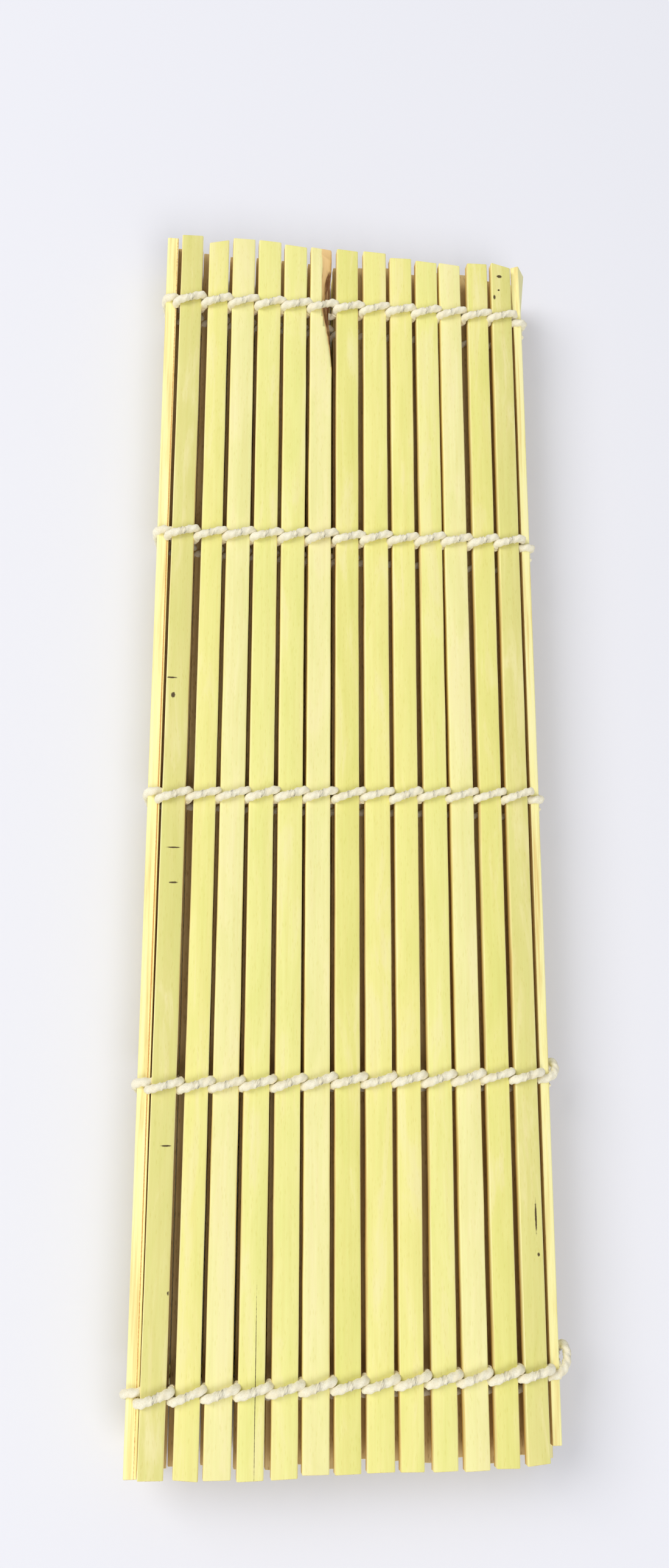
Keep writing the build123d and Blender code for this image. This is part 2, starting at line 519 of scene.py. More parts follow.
def shape_edge_slat(mesh):
    """Makes the front layer's last slat a little thin, sets it outward and twists its far end."""
    for vertex in mesh.vertices:
        place = vertex.co
        place.z = place.z * EDGE_THINNING + EDGE_OUTWARD
        share = max(0, place.y - EDGE_TWIST_START) / (HALF_LENGTH - EDGE_TWIST_START)
        place.xz = Matrix.Rotation(EDGE_TWIST * share, 2) @ place.xz
        place.z += EDGE_TWIST_OUTWARD * share
        place.x -= EDGE_RAISE


def tint(mesh, tone):
    """Keeps a slat's tone and depth below its skin on its mesh, where the finishes read them; the depth sets
    the painted shade of the cut sides.
    """
    depths = mesh.attributes.new("depth", "FLOAT", "POINT")
    depths.data.foreach_set("value", [0.5 - vertex.co.z / SLAT_SIZE.z for vertex in mesh.vertices])
    tones = mesh.attributes.new("tone", "FLOAT_COLOR", "POINT")
    tones.data.foreach_set("color", [*TONES[tone], 1.0] * len(mesh.vertices))


def one_slat(layer, number):
    """The mesh of one slat in its own axes, skin side up, with its own shape and tone."""
    sizes = bpy.context.scene.mat_slats
    torn_one = layer == "front" and number == SPLIT_SLAT
    if torn_one:
        mesh = kept_pattern("Torn slat pattern", lambda: model_slat(sizes.torn_cuts, 11)).copy()
        split_corner(mesh)
    else:
        mesh = kept_pattern("Slat pattern", lambda: model_slat(sizes.cuts, 1)).copy()
    values, tone = varied_slat(number, layer)
    bend_slat(mesh, values, number * 0.37 + len(layer))
    if layer == "front" and number == EDGE_SLAT:
        shape_edge_slat(mesh)
    if layer == "left fold":
        far, near = FOLD_OUTWARD
        for vertex in mesh.vertices:
            outward = near + (far - near) * (0.5 + vertex.co.y / SLAT_SIZE.y)
            vertex.co.z = vertex.co.z * FOLD_THICKENING + outward
    tint(mesh, tone)
    return mesh


def slat_materials():
    return [finish(name) for name in SLAT_FINISHES]


def slat_piece(layer, number, place, body, node):
    """One slat in its place on its body."""
    piece = gathered(f"slat_{body}", [(one_slat(layer, number), place)], slat_materials())
    smooth(piece)
    settle(piece, body, node)


# Twine

SECTION_SIDES = 10


def ply_profile(radius):
    """Section of the twine: two plies side by side, as a closed curve for its bevel."""
    settings = bpy.context.scene.mat_twine
    name = f"Twine section {radius / MM:.2f}"
    profile = bpy.data.objects.get(name)
    if profile:
        return profile
    curve = bpy.data.curves.new(name, "CURVE")
    curve.dimensions = "2D"
    spline = curve.splines.new("POLY")
    spline.points.add(SECTION_SIDES - 1)
    for index, point in enumerate(spline.points):
        angle = 2 * math.pi * index / SECTION_SIDES
        reach = radius * (1 - settings.ply_depth + settings.ply_depth * math.cos(2 * angle))
        point.co = (reach * math.cos(angle), reach * math.sin(angle), 0, 1)
    spline.use_cyclic_u = True
    profile = bpy.data.objects.new(name, curve)
    bpy.context.collection.objects.link(profile)
    return profile


def lay_twine(points, radius, phase, twist):
    """A length of twisted twine that follows smooth control points, as a mesh object."""
    settings = bpy.context.scene.mat_twine
    curve = bpy.data.curves.new("Twine", "CURVE")
    curve.dimensions = "3D"
    spline = curve.splines.new("NURBS")
    spline.points.add(len(points) - 1)
    travelled = 0.0
    for index, point in enumerate(spline.points):
        place, fullness = points[index]
        if index:
            travelled += (Vector(place) - Vector(points[index - 1][0])).length
        point.co = (*place, 1)
        point.radius = fullness
        point.tilt = phase - 2 * math.pi * travelled * twist / settings.turn_length
    spline.order_u = 3
    spline.use_endpoint_u = True
    spline.use_smooth = True
    curve.resolution_u = 3
    curve.bevel_mode = "OBJECT"
    curve.bevel_object = ply_profile(radius)
    curve.use_fill_caps = True
    twine = bpy.data.objects.new("Twine", curve)
    bpy.context.collection.objects.link(twine)
    only(twine)
    bpy.ops.object.convert(target="MESH")
    return twine


def strand_pattern(name, points, radius, phase=0.0, twist=1.0):
    """The mesh of a strand through points in millimetres, each with its fullness if it isn't full there."""
    route = [([value * MM for value in point[:3]], point[3] if len(point) > 3 else 1.0) for point in points]
    return kept_pattern(name, lambda: lay_twine(route, radius, phase, twist))


# Right halves of the strands over a slat, in millimetres in the slat's own axes
GAP_END = [(1.15, 0.36, 1.78), (2.35, 0.78, 1.66), (2.82, 0.86, 0.95), (2.78, 0.86, 0.0)]
FOLD_END = [(1.15, 0.36, 1.78), (2.35, 0.78, 1.6), (2.9, 0.88, 0.75), (2.9, 0.88, -0.05)]
WRAP_END = [(1.1, 0.34, 1.76), (2.3, 0.62, 1.66), (2.86, 0.8, 0.75), (2.86, 0.88, -0.2), (2.45, 0.9, -0.95)]
PRESSED_END = [
    (0.6, 0.2, 1.5, 0.8), (1.7, 0.5, 1.35, 0.7), (2.6, 0.8, 1.2, 0.7), (2.86, 0.86, 0.3, 0.8),
    (2.6, 0.9, -0.6),
]
KNOT_END = [(0.6, 0.2, 1.74), (1.5, 0.3, 1.7)]
INNER_END = [(1.6, 0.5, 1.74), (2.6, 0.8, 1.2), (2.78, 0.85, 0.0)]
INNER_FOLD_END = [(1.2, 0.4, 1.7), (2.05, 0.7, 1.3), (2.35, 0.8, 0.8)]
FOLD_INNER_HALF = [(0.5, 0.16, 1.42), (1.4, 0.45, 1.25, 0.9), (2.3, 0.75, 1.02, 0.7)]
# The flat run of a woven middle strand over a slat, and the reach and rise of its ends at the folds
WOVEN_FLAT_RUN = 2.15
WOVEN_END = [(1.9, 1.5), (2.3, 0.8)]
SLOW_TWIST = 0.5
TUCKED_RADIUS = 0.72 * MM
FOLD_INNER_RADIUS = 0.45 * MM


def turned_half(half):
    """The left end of a strand from the points of a right end."""
    return [(-x, -y, *rest) for x, y, *rest in reversed(half)]


def outer_strand(chance, left, right, name):
    """A visible strand over a slat, one of three that differ in their twist and fullness."""
    kind = chance.randrange(3)
    radius = bpy.context.scene.mat_twine.radius * (0.96 + 0.04 * kind)
    points = turned_half(left) + right
    return strand_pattern(f"Strand {name} {kind}", points, radius, phase=kind * 1.1)


def tucked_strand(left, right, name):
    """A strand between the layers, with a slower twist because it has fewer rings."""
    return strand_pattern(f"Strand {name}", turned_half(left) + right, TUCKED_RADIUS, twist=SLOW_TWIST)


def fold_inner_strand():
    points = turned_half(FOLD_INNER_HALF) + FOLD_INNER_HALF
    return strand_pattern("Strand inside fold", points, FOLD_INNER_RADIUS, twist=SLOW_TWIST)


def jitter(chance):
    """A strand's own small turn and slide along the slat."""
    turn = Matrix.Rotation(math.radians(chance.uniform(-3, 3)), 4, "Z")
    return Matrix.Translation((0, chance.uniform(-0.12, 0.12) * MM, 0)) @ turn


def tie_piece(name, body, node, shapes):
    """All the strands of one slat as one piece."""
    piece = gathered(name, shapes, [finish("Cotton twine")])
    for face in piece.data.polygons:
        face.use_smooth = True
    settle(piece, body, node)


# The loose loops of the two nearest rows at the right edge, and the knots that end the rows, in
# millimetres in the slat's own axes
EDGE_LOOSE = [
    [(-2.45, -0.9, -0.95), (-2.86, -0.8, -0.1), (-2.9, -0.5, 0.9), (-2.5, 0.2, 2.0), (-1.6, 1.5, 2.9),
     (-0.8, 3.4, 3.1), (0.2, 4.2, 2.5), (1.2, 3.2, 1.9), (1.5, 1.2, 1.75)],
    [(-2.45, -0.9, -0.95), (-2.86, -0.8, -0.1), (-2.9, -0.6, 0.9), (-2.5, 0.0, 2.0), (-1.5, 0.9, 2.7),
     (-0.5, 2.2, 2.8), (0.5, 2.6, 2.2), (1.3, 1.9, 1.8), (1.5, 0.9, 1.75)],
]
EDGE_KNOT = Matrix.Translation(Vector((1.6, 0.3, 1.75)) * MM)
FREE_KNOT = Matrix.Translation((HALF_WIDTH + 1.2 * MM, 0, 0))
KNOT_RADIUS = 0.52 * MM
KNOT_WIDTH = 0.3844
KNOT_REACH = 0.496
KNOT_DEPTH = 0.62
KNOT_STEPS = 10
KNOT_CLOSURE = 0.92


def knot_pattern():
    """An overhand knot with two short ends."""
    points = [(-0.9, -2.3, 0.3)]
    for step in range(KNOT_STEPS + 1):
        angle = math.radians(60) + 2 * math.pi * KNOT_CLOSURE * step / KNOT_STEPS
        across = KNOT_WIDTH * (math.sin(angle) + 2 * math.sin(2 * angle))
        along = KNOT_REACH * (math.cos(angle) - 2 * math.cos(2 * angle))
        points.append((across, along, -KNOT_DEPTH * math.sin(3 * angle)))
    points.append((0.5, 2.5, 0.2))
    return strand_pattern("Knot", points, KNOT_RADIUS, twist=SLOW_TWIST)


def layer_ties(layer, place_slat, place_row):
    """The ties of the front or back layer's flat slats. The back layer's free edge ends in knots."""
    for number in LAYER_NUMBERS:
        chance = random.Random(f"{layer} tie {number}")
        at_end = number == LAYER_SLATS
        at_folds = (number == 1, at_end and layer == "front")
        left, right = (FOLD_END if at_fold else GAP_END for at_fold in at_folds)
        tucked = [INNER_FOLD_END if at_fold else INNER_END for at_fold in at_folds]
        ends = "{}{}".format(*at_folds)
        under = tucked_strand(*tucked, f"under {ends}")
        shapes = []
        for row in range(ROWS):
            place = Matrix.Translation((0, place_row(row, number), 0)) @ place_slat(number)
            over = outer_strand(chance, left, right, f"over {ends}")
            shapes += [(over, place @ jitter(chance)), (under, place @ TURN_OVER)]
            if at_end and layer == "back":
                shapes.append((knot_pattern(), place @ FREE_KNOT))
        label = f"{number:02d}"
        tie_piece(f"ties_{layer}_{label}", f"{layer}_{label}", f"{layer}_ties_{label}", shapes)


def woven_points(first_up):
    """Control points of a strand over and under the middle slats, in millimetres."""
    crown = (HALF_THICKNESS + STRING_RISE / 2) / MM
    last = LAYER_SLATS - 1
    half_pitch = HALF_PITCH / MM
    offset = STRAND_OFFSET / MM
    points = []
    for index in range(LAYER_SLATS):
        side = 1 if (index % 2 == 0) == first_up else -1
        centre = layer_x(index + 1) / MM
        lean = side * offset * WOVEN_FLAT_RUN / half_pitch
        run = [(centre - WOVEN_FLAT_RUN, -lean, side * crown), (centre + WOVEN_FLAT_RUN, lean, side * crown)]
        if index == 0:
            run[:1] = [(centre - reach, -lean, side * rise) for reach, rise in reversed(WOVEN_END)]
        if index == last:
            run[1:] = [(centre + reach, lean, side * rise) for reach, rise in WOVEN_END]
        points += run
        if index < last:
            points.append((centre + half_pitch, side * offset, 0))
    return points


# Shader nodes


def feed(tree, socket, value):
    """Links another socket to a socket, or sets the socket's own value."""
    if isinstance(value, bpy.types.NodeSocket):
        tree.links.new(value, socket)
    elif socket.type == "RGBA":
        socket.default_value = (*value[:3], 1.0)
    else:
        socket.default_value = value


def add_node(tree, kind, **values):
    """A node with its settings. A value named for a socket sets or feeds that socket."""
    node = tree.nodes.new(kind)
    for label, value in values.items():
        if hasattr(node, label):
            setattr(node, label, value)
        else:
            feed(tree, node.inputs[label.replace("_", " ")], value)
    return node


def compute(tree, operation, *values, kind="ShaderNodeMath"):
    """What a node makes of sockets and values by arithmetic."""
    node = add_node(tree, kind, operation=operation)
    for socket, value in zip(node.inputs, values):
        feed(tree, socket, value)
    return node.outputs["Value"] if operation == "LENGTH" else node.outputs[0]


def compute_vector(tree, operation, *values):
    return compute(tree, operation, *values, kind="ShaderNodeVectorMath")


def clouds(tree, place, scale, detail, roughness=0.5, distortion=0.0):
    """Soft noise of a given fineness."""
    node = add_node(
        tree, "ShaderNodeTexNoise", Vector=place, Scale=scale, Detail=detail, Roughness=roughness,
        Distortion=distortion
    )
    return node.outputs["Fac"]


def spread(tree, value, low, high, to_low=0.0, to_high=1.0, curve="LINEAR"):
    """A value stretched from one range to another, and held there."""
    node = add_node(
        tree, "ShaderNodeMapRange", interpolation_type=curve, Value=value, From_Min=low, From_Max=high,
        To_Min=to_low, To_Max=to_high
    )
    return node.outputs[0]


def blend_colour(tree, factor, first, second, mode="MIX"):
    """A colour mix. Each colour is a socket or a value."""
    mix = add_node(tree, "ShaderNodeMix", data_type="RGBA", blend_type=mode)
    for index, value in ((0, factor), (6, first), (7, second)):
        feed(tree, mix.inputs[index], value)
    return mix.outputs[2]


def read_attribute(tree, name, output="Fac"):
    return add_node(tree, "ShaderNodeAttribute", attribute_name=name).outputs[output]


def relief(tree, height, strength, depth):
    """Fine relief of the surface from a height."""
    return add_node(tree, "ShaderNodeBump", Height=height, Strength=strength, Distance=depth).outputs[0]


def coat(tree, **values):
    """Sets or feeds the sockets of a material's shader."""
    shader = tree.nodes["Principled BSDF"]
    for label, value in values.items():
        feed(tree, shader.inputs[label.replace("_", " ")], value)


# Shared shader groups. Each function gets the group's inputs and gives what it puts out


def grain_effect(group, entry):
    """Lengthwise fibres of bamboo: streaks, cloudy mottling, pores and a height."""
    place = entry["Vector"]
    fibres = compute_vector(group, "MULTIPLY", place, (1.0, 0.03, 1.0))
    fibres = compute_vector(group, "MULTIPLY", fibres, entry["Fineness"])
    streaks = clouds(group, fibres, 1500.0, 5.0, 0.62, 0.3)
    mottle = clouds(group, compute_vector(group, "MULTIPLY", place, (1.0, 0.16, 1.0)), 260.0, 4.0, 0.6, 0.6)
    dashes = compute_vector(group, "MULTIPLY", place, (1.0, 0.22, 1.0))
    pores = add_node(group, "ShaderNodeTexVoronoi", Scale=2300.0, Vector=dashes)
    dots = spread(group, pores.outputs["Distance"], 0.1, 0.32, 1.0, 0.0, "SMOOTHSTEP")
    return streaks, mottle, dots, compute(group, "MULTIPLY_ADD", dots, -0.4, streaks)


def fleck_effect(group, entry):
    """A mark of a given size about a centre, with a soft, frayed edge."""
    place = entry["Vector"]
    offset = compute_vector(group, "SUBTRACT", place, entry["Centre"])
    reach = compute_vector(group, "LENGTH", compute_vector(group, "DIVIDE", offset, entry["Half size"]))
    frayed = compute(group, "MULTIPLY_ADD", clouds(group, place, 2600.0, 3.0), 0.9, reach)
    return [spread(group, frayed, 1.2, 1.9, 1.0, 0.0, "SMOOTHSTEP")]


def torn_effect(group, entry):
    """Torn fibres: peach-coloured wood with brown streaks, shown past the skin's torn edge."""
    fibres = compute_vector(group, "MULTIPLY", entry["Vector"], (1.0, 0.09, 0.6))
    deeper = spread(group, entry["Past edge"], 0.8, 1.3, -0.1, 0.22)
    wood = spread(group, compute(group, "ADD", clouds(group, fibres, 2300.0, 4.0, 0.6), deeper), 0.5, 0.74)
    colour = blend_colour(group, wood, srgb(243, 204, 142), bpy.context.scene.mat_finish.split_colour)
    return spread(group, entry["Past edge"], 0.0, 0.14), colour


VECTOR = "NodeSocketVector"
NUMBER = "NodeSocketFloat"
COLOUR = "NodeSocketColor"
EFFECTS = {
    "Bamboo grain": (
        grain_effect,
        {"Vector": VECTOR, "Fineness": NUMBER},
        {"Streaks": NUMBER, "Mottle": NUMBER, "Pores": NUMBER, "Height": NUMBER},
    ),
    "Dark fleck": (fleck_effect, {"Vector": VECTOR, "Centre": VECTOR, "Half size": VECTOR}, {"Mask": NUMBER}),
    "Torn fibres": (torn_effect, {"Vector": VECTOR, "Past edge": NUMBER}, {"Mask": NUMBER, "Colour": COLOUR}),
}


def use_effect(tree, name, **values):
    """Places a shared group in a material. The group is built the first time that it is asked for."""
    group = bpy.data.node_groups.get(name)
    if group is None:
        group = bpy.data.node_groups.new(name, "ShaderNodeTree")
        effect, inputs, outputs = EFFECTS[name]
        for direction, sockets in (("INPUT", inputs), ("OUTPUT", outputs)):
            for label, kind in sockets.items():
                group.interface.new_socket(name=label, in_out=direction, socket_type=kind)
        results = effect(group, group.nodes.new("NodeGroupInput").outputs)
        for socket, value in zip(group.nodes.new("NodeGroupOutput").inputs, results):
            feed(group, socket, value)
    return add_node(tree, "ShaderNodeGroup", node_tree=group, **values).outputs


def add_fleck(tree, place, colour, centre, half_size, fleck_colour):
    """Lays one mark over a colour. Its centre and half size are in millimetres."""
    mark = use_effect(
        tree, "Dark fleck", Vector=place, Centre=Vector(centre) * MM, Half_size=Vector(half_size) * MM
    )
    return blend_colour(tree, mark["Mask"], colour, fleck_colour)


def torn(tree, place, colour):
    """Lays the torn fibres over a colour where the slat is split."""
    fibres = use_effect(tree, "Torn fibres", Vector=place, Past_edge=read_attribute(tree, "split"))
    return blend_colour(tree, fibres["Mask"], colour, fibres["Colour"])


# Finishes


def dress_skin(tree, place):
    """The waxy outer skin: each slat's tone with fine fibres, cloudy green and straw patches and flecks."""
    grain = use_effect(tree, "Bamboo grain", Vector=place, Fineness=1.0)
    patches = spread(tree, grain["Mottle"], 0.42, 0.66)
    tone = read_attribute(tree, "tone", "Color")
    colour = blend_colour(tree, patches, tone, (0.93, 0.955, 0.84), "MULTIPLY")
    paler = spread(tree, grain["Mottle"], 0.46, 0.3, 0.0, 0.55)
    colour = blend_colour(tree, paler, colour, srgb(252, 242, 186))
    lines = spread(tree, grain["Streaks"], 0.35, 0.68, 0.55, 0.0)
    colour = blend_colour(tree, lines, colour, (0.93, 0.88, 0.8), "MULTIPLY")
    dots = spread(tree, grain["Pores"], 0.0, 1.0, 0.0, 0.35)
    colour = blend_colour(tree, dots, colour, (0.86, 0.82, 0.62), "MULTIPLY")
    fleck_colour = bpy.context.scene.mat_finish.fleck_colour
    for x, y, half_width, half_length in FLECKS:
        centre, half_size = (x, y, SKIN_HEIGHT), (half_width, half_length, FLECK_HALF_HEIGHT)
        colour = add_fleck(tree, place, colour, centre, half_size, fleck_colour)
    coat(
        tree,
        Base_Color=torn(tree, place, colour),
        Roughness=spread(tree, grain["Mottle"], 0.3, 0.7, 0.4, 0.56),
        Specular_IOR_Level=0.35,
        Normal=relief(tree, grain["Height"], 0.35, 0.05 * MM),
    )


def dress_side(tree, place):
    """The split side: pale wood with straw and orange-brown fibre lines, with painted shade of the gaps that
    browns the flat slats' sides with depth.
    """
    grain = use_effect(tree, "Bamboo grain", Vector=place, Fineness=0.8)
    lines = spread(tree, grain["Streaks"], 0.5, 0.7, 0.0, 0.8)
    colour = blend_colour(tree, lines, bpy.context.scene.mat_finish.side_colour, srgb(228, 192, 112))
    light = spread(tree, grain["Streaks"], 0.5, 0.32, 0.0, 0.6)
    colour = blend_colour(tree, light, colour, srgb(254, 246, 200))
    # Painted shade: on the flat slats, whose sides face across the gaps, the side turns browner further below
    # the skin; the slats on edge keep it pale.
    across = add_node(tree, "ShaderNodeSeparateXYZ", Vector=place).outputs["X"]
    flat = spread(tree, compute(tree, "ABSOLUTE", across), FOLD_X - 0.9 * MM, FOLD_X - 1.1 * MM)
    deep = spread(tree, read_attribute(tree, "depth"), 0.3, 0.75)
    colour = blend_colour(tree, compute(tree, "MULTIPLY", flat, deep), colour, (0.84, 0.62, 0.44), "MULTIPLY")
    colour = add_fleck(tree, place, colour, *FOLD_LINE, srgb(214, 158, 88))
    coat(
        tree,
        Base_Color=torn(tree, place, colour),
        Roughness=0.68,
        Specular_IOR_Level=0.25,
        Normal=relief(tree, grain["Height"], 0.5, 0.08 * MM),
    )


def dress_inner(tree, place):
    """The inner side: duller wood with coarse fibre bundles and pores."""
    grain = use_effect(tree, "Bamboo grain", Vector=place, Fineness=0.6)
    bundles = spread(tree, grain["Streaks"], 0.38, 0.6)
    colour = blend_colour(tree, bundles, bpy.context.scene.mat_finish.inner_colour, srgb(200, 166, 108))
    cloudy = spread(tree, grain["Mottle"], 0.4, 0.7, 0.0, 0.5)
    colour = blend_colour(tree, cloudy, colour, srgb(236, 216, 160))
    dots = spread(tree, grain["Pores"], 0.0, 1.0, 0.0, 0.5)
    colour = blend_colour(tree, dots, colour, srgb(162, 128, 80))
    coat(
        tree,
        Base_Color=torn(tree, place, colour),
        Roughness=0.78,
        Specular_IOR_Level=0.2,
        Normal=relief(tree, grain["Height"], 0.6, 0.1 * MM),
    )


def dress_end(tree, place):
    """The sawn end: pale wood dotted with the dark ends of fibre bundles."""
    bundles = add_node(tree, "ShaderNodeTexVoronoi", Scale=3600.0, Randomness=0.9, Vector=place)
    worn = clouds(tree, place, 1400.0, 4.0)
    colour = blend_colour(tree, spread(tree, worn, 0.3, 0.7), srgb(246, 232, 166), srgb(226, 202, 132))
    dots = spread(tree, bundles.outputs["Distance"], 0.42, 0.2)
    colour = blend_colour(tree, dots, colour, srgb(194, 156, 98))
    coat(
        tree,
        Base_Color=torn(tree, place, colour),
        Roughness=0.85,
        Specular_IOR_Level=0.15,
        Normal=relief(tree, worn, 0.6, 0.08 * MM),
    )


def dress_twine(tree, place):
    """Undyed cotton: cream with fine fuzzy fibres, and painted shade that greys the hollows of the fuzz."""
    fuzz = clouds(tree, place, 5200.0, 4.0, 0.7)
    # Painted shade: the low spots of the fuzz, which the relief sinks too, turn greyer.
    hollows = spread(tree, fuzz, 0.52, 0.34, 0.0, 0.5)
    colour = blend_colour(tree, hollows, bpy.context.scene.mat_finish.twine_colour, srgb(222, 204, 164))
    warmer = spread(tree, clouds(tree, place, 520.0, 3.0), 0.45, 0.75, 0.0, 0.6)
    coat(
        tree,
        Base_Color=blend_colour(tree, warmer, colour, srgb(244, 230, 192)),
        Roughness=0.92,
        Specular_IOR_Level=0.1,
        Sheen_Weight=0.25,
        Sheen_Roughness=0.5,
        Normal=relief(tree, fuzz, 0.8, 0.09 * MM),
    )


def dress_floor(tree, place):
    """A plain pale board."""
    coat(tree, Base_Color=bpy.context.scene.mat_stage.floor_colour, Roughness=0.9, Specular_IOR_Level=0.1)


# The finishes of a slat stand in the order that slat_finish gives
SLAT_FINISHES = {
    "Bamboo skin": dress_skin,
    "Bamboo cut side": dress_side,
    "Bamboo inner side": dress_inner,
    "Bamboo end": dress_end,
}
FINISHES = {**SLAT_FINISHES, "Cotton twine": dress_twine, "Pale floor": dress_floor}


def finish(name):
    """The material of a finish, dressed the first time that it is asked for."""
    material = bpy.data.materials.get(name)
    if material is None:
        material = bpy.data.materials.new(name)
        material.use_nodes = True
        tree = material.node_tree
        FINISHES[name](tree, add_node(tree, "ShaderNodeTexCoord").outputs["Object"])
    return material


# Operators


class MAT_OT_front_slats(bpy.types.Operator):
    """Models the front layer's slats, the last one bent down on edge"""

    bl_idname = "mat.front_slats"
    bl_label = "Front slats"

    def execute(self, context):
        for number in LAYER_NUMBERS:
            label = f"{number:02d}"
            slat_piece("front", number, front_place(number), f"front_{label}", f"front_slat_{label}")
        slat_piece("front", EDGE_SLAT, edge_place(), "front_14", "front_slat_14")
        return {"FINISHED"}


class MAT_OT_fold_slats(bpy.types.Operator):
    """Models the two slats that stand on edge in the folds"""

    bl_idname = "mat.fold_slats"
    bl_label = "Fold slats"

    def execute(self, context):
        slat_piece("left fold", 1, left_fold_place() @ TURN_OVER, "left_fold", "left_fold_slat")
        slat_piece("right fold", 1, right_fold_place(), "right_fold", "right_fold_slat")
        return {"FINISHED"}


class MAT_OT_inner_slats(bpy.types.Operator):
    """Models the slats of the middle and back layers"""

    bl_idname = "mat.inner_slats"
    bl_label = "Middle and back slats"

    def execute(self, context):
        middle = []
        for number in LAYER_NUMBERS:
            place = back_place(number) @ TURN_OVER
            label = f"{number:02d}"
            slat_piece("back", number, place, f"back_{label}", f"back_slat_{label}")
            place = Matrix.Translation((layer_x(number) - MIDDLE_SHIFT, 0, MIDDLE_Z)) @ TURN_OVER
            middle.append((one_slat("middle", number), place))
        piece = gathered("slats_middle", middle, slat_materials())
        smooth(piece)
        settle(piece, "middle_layer", "middle_slats")
        return {"FINISHED"}


class MAT_OT_front_ties(bpy.types.Operator):
    """Models the twine round each slat of the front layer"""

    bl_idname = "mat.front_ties"
    bl_label = "Front ties"

    def execute(self, context):
        layer_ties("front", front_place, front_row_y)
        return {"FINISHED"}


class MAT_OT_edge_ties(bpy.types.Operator):
    """Models the twine over the front layer's bent edge slat, with its knots and two loose loops"""

    bl_idname = "mat.edge_ties"
    bl_label = "Edge ties"

    def execute(self, context):
        chance = random.Random("edge tie")
        shapes = []
        for row in range(ROWS):
            place = edge_place() @ Matrix.Translation((0, front_row_y(row, EDGE_SLAT), 0))
            if row < len(EDGE_LOOSE):
                over = strand_pattern(f"Strand loose {row}", EDGE_LOOSE[row], context.scene.mat_twine.radius)
            else:
                over = outer_strand(chance, WRAP_END, KNOT_END, "over edge")
            shapes += [(over, place), (fold_inner_strand(), place @ TURN_OVER)]
            shapes.append((knot_pattern(), place @ EDGE_KNOT))
        tie_piece("ties_front_14", "front_14", "front_ties_14", shapes)
        return {"FINISHED"}


class MAT_OT_fold_ties(bpy.types.Operator):
    """Models the twine over the two fold slats"""

    bl_idname = "mat.fold_ties"
    bl_label = "Fold ties"

    def execute(self, context):
        folds = {
            "left_fold": (left_fold_place(), front_row_y, (WRAP_END, PRESSED_END)),
            "right_fold": (right_fold_place(), back_row_y, (PRESSED_END, PRESSED_END)),
        }
        for fold, (fold_place, place_along, ends) in folds.items():
            chance = random.Random(f"{fold} tie")
            shapes = []
            for row in range(ROWS):
                place = Matrix.Translation((0, place_along(row, 0), 0)) @ fold_place
                over = outer_strand(chance, *ends, f"over {fold}")
                shapes += [(over, place @ TURN_OVER), (fold_inner_strand(), place)]
            tie_piece(f"ties_{fold}", fold, f"{fold}_ties", shapes)
        return {"FINISHED"}


class MAT_OT_back_ties(bpy.types.Operator):
    """Models the twine round each slat of the back layer, with the knots of its free edge"""

    bl_idname = "mat.back_ties"
    bl_label = "Back ties"

    def execute(self, context):
        layer_ties("back", back_place, back_row_y)
        return {"FINISHED"}


class MAT_OT_middle_strings(bpy.types.Operator):
    """Models the strands that weave through the middle layer in one piece"""

    bl_idname = "mat.middle_strings"
    bl_label = "Middle strings"

    def execute(self, context):
        shapes = []
        for first_up in (True, False):
            points = woven_points(first_up)
            strand = strand_pattern(f"Woven strand {first_up}", points, TUCKED_RADIUS, twist=SLOW_TWIST)
            for row in range(ROWS):
                shapes.append((strand, Matrix.Translation((0, row_y(row) + INNER_ROW_SHIFT, MIDDLE_Z))))
        tie_piece("strings_middle", "middle_layer", "middle_strings", shapes)
        return {"FINISHED"}


# The stage's fixed values. The camera's were fitted to the slats' ends and the rows of string
SKY_COLOUR = (0.94, 0.97, 1.0, 1.0)
LAMP_COLOUR = (1.0, 0.985, 0.95)
LAMP_SIZE = 0.9
FLOOR_SIZE = 3.0
CAMERA_PLACE = Vector((-36.22, -58.08, 252.85)) * MM
CAMERA_RIGHT = Vector((0.99032, 0.00229, 0.13882))
CAMERA_UP = Vector((-0.03548, 0.97085, 0.23706))


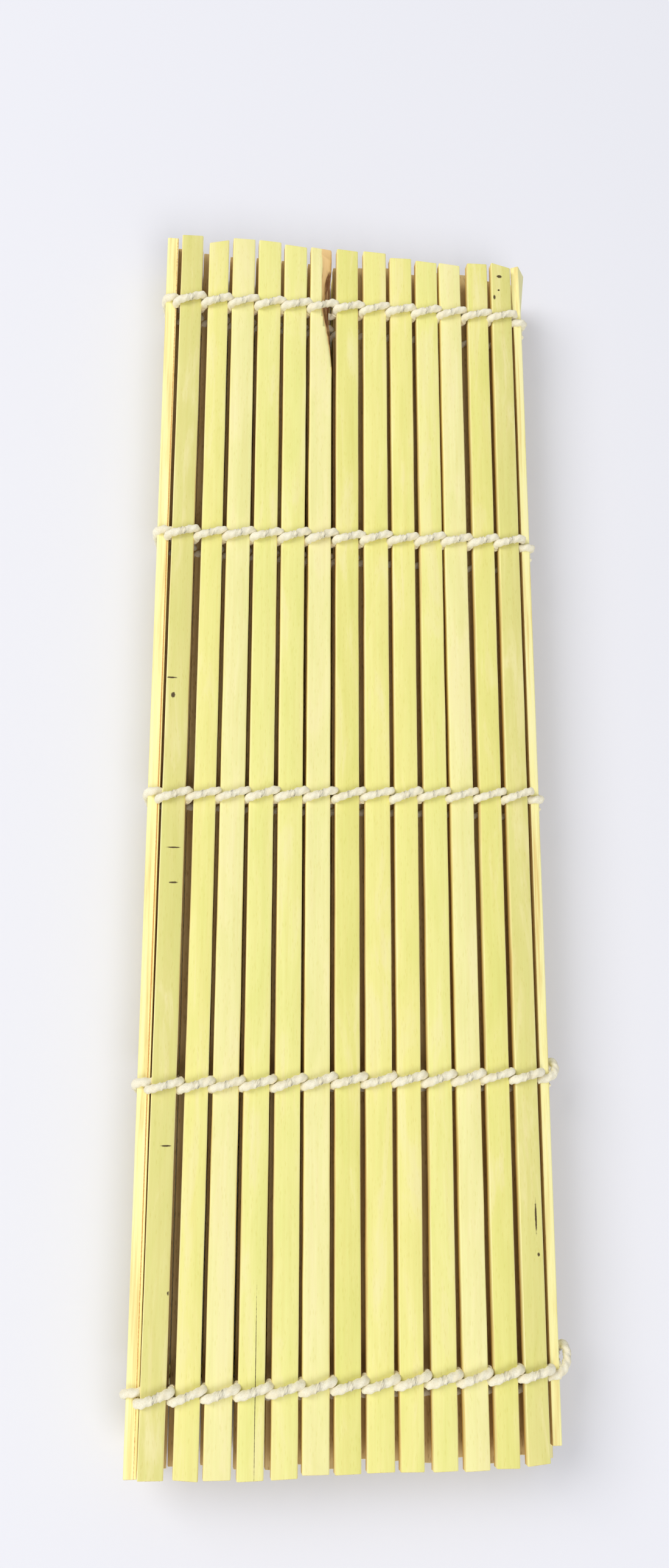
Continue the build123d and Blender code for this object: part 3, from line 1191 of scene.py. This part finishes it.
class MAT_OT_stage(bpy.types.Operator):
    """Adds the floor, the lamps, the even light and the camera"""

    bl_idname = "mat.stage"
    bl_label = "Stage"

    def execute(self, context):
        settings = context.scene.mat_stage
        bpy.ops.object.select_all(action="DESELECT")
        bpy.ops.mesh.primitive_plane_add(size=FLOOR_SIZE)
        floor = context.object
        floor.name = "floor"
        floor.data.materials.append(finish("Pale floor"))
        world = bpy.data.worlds.new("Even light")
        world.use_nodes = True
        sky = world.node_tree.nodes["Background"].inputs
        sky["Color"].default_value = SKY_COLOUR
        sky["Strength"].default_value = settings.sky_level
        context.scene.world = world
        self.add_lamp(context, "Key lamp", settings.key_power, (-1.0, 0.5, 1.1))
        self.add_lamp(context, "Fill lamp", settings.fill_power, (0.25, -1.1, 1.3))
        self.add_camera(context, settings)
        context.scene.view_settings.view_transform = "Standard"
        return {"FINISHED"}

    def add_lamp(self, context, name, power, place):
        """A large soft lamp that faces the mat."""
        lamp = bpy.data.lights.new(name, "AREA")
        lamp.energy = power
        lamp.size = LAMP_SIZE
        lamp.color = LAMP_COLOUR
        source = bpy.data.objects.new(name, lamp)
        source.location = place
        source.rotation_euler = (-source.location).to_track_quat("-Z", "Y").to_euler()
        context.collection.objects.link(source)

    def add_camera(self, context, settings):
        """The camera above the near end, turned a little, where the slats' ends fit the photograph."""
        data = bpy.data.cameras.new("Camera")
        data.sensor_fit = "HORIZONTAL"
        data.sensor_width = 36.0
        data.lens = settings.lens
        data.clip_start = 0.01
        camera = bpy.data.objects.new("Camera", data)
        backward = CAMERA_RIGHT.cross(CAMERA_UP).normalized()
        turn = Matrix((CAMERA_RIGHT, CAMERA_UP, backward)).transposed().to_4x4()
        camera.matrix_world = Matrix.Translation(CAMERA_PLACE) @ turn
        context.collection.objects.link(camera)
        context.scene.camera = camera


class MAT_PT_panel(bpy.types.Panel):
    """Lists the pieces of the mat"""

    bl_label = "Rolling mat"
    bl_idname = "MAT_PT_panel"
    bl_space_type = "VIEW_3D"
    bl_region_type = "UI"
    bl_category = "Rolling mat"

    def draw(self, context):
        for group_name, group in GROUPS.items():
            box = self.layout.box()
            for name in group.__annotations__:
                box.prop(getattr(context.scene, group_name), name)
        for operator in OPERATORS:
            self.layout.operator(operator.bl_idname)


GROUPS = {
    "mat_slats": SlatSettings,
    "mat_twine": TwineSettings,
    "mat_finish": FinishSettings,
    "mat_stage": StageSettings,
}
OPERATORS = [
    MAT_OT_front_slats,
    MAT_OT_fold_slats,
    MAT_OT_inner_slats,
    MAT_OT_front_ties,
    MAT_OT_edge_ties,
    MAT_OT_fold_ties,
    MAT_OT_middle_strings,
    MAT_OT_back_ties,
    MAT_OT_stage,
]


def register():
    for group in GROUPS.values():
        bpy.utils.register_class(group)
    for name, group in GROUPS.items():
        setattr(bpy.types.Scene, name, PointerProperty(type=group))
    for operator in OPERATORS:
        bpy.utils.register_class(operator)
    bpy.utils.register_class(MAT_PT_panel)


def unregister():
    bpy.utils.unregister_class(MAT_PT_panel)
    for operator in reversed(OPERATORS):
        bpy.utils.unregister_class(operator)
    for name in GROUPS:
        delattr(bpy.types.Scene, name)
    for group in reversed(GROUPS.values()):
        bpy.utils.unregister_class(group)


def clear_helpers():
    """Removes the twine sections, which only served the bevels."""
    for piece in list(bpy.data.objects):
        if piece.name.startswith("Twine section"):
            bpy.data.objects.remove(piece)


def main():
    register()
    bpy.ops.mat.stage()
    bpy.ops.mat.front_slats()
    bpy.ops.mat.fold_slats()
    bpy.ops.mat.inner_slats()
    bpy.ops.mat.front_ties()
    bpy.ops.mat.edge_ties()
    bpy.ops.mat.fold_ties()
    bpy.ops.mat.middle_strings()
    bpy.ops.mat.back_ties()
    clear_helpers()


if __name__ == "__main__":
    main()
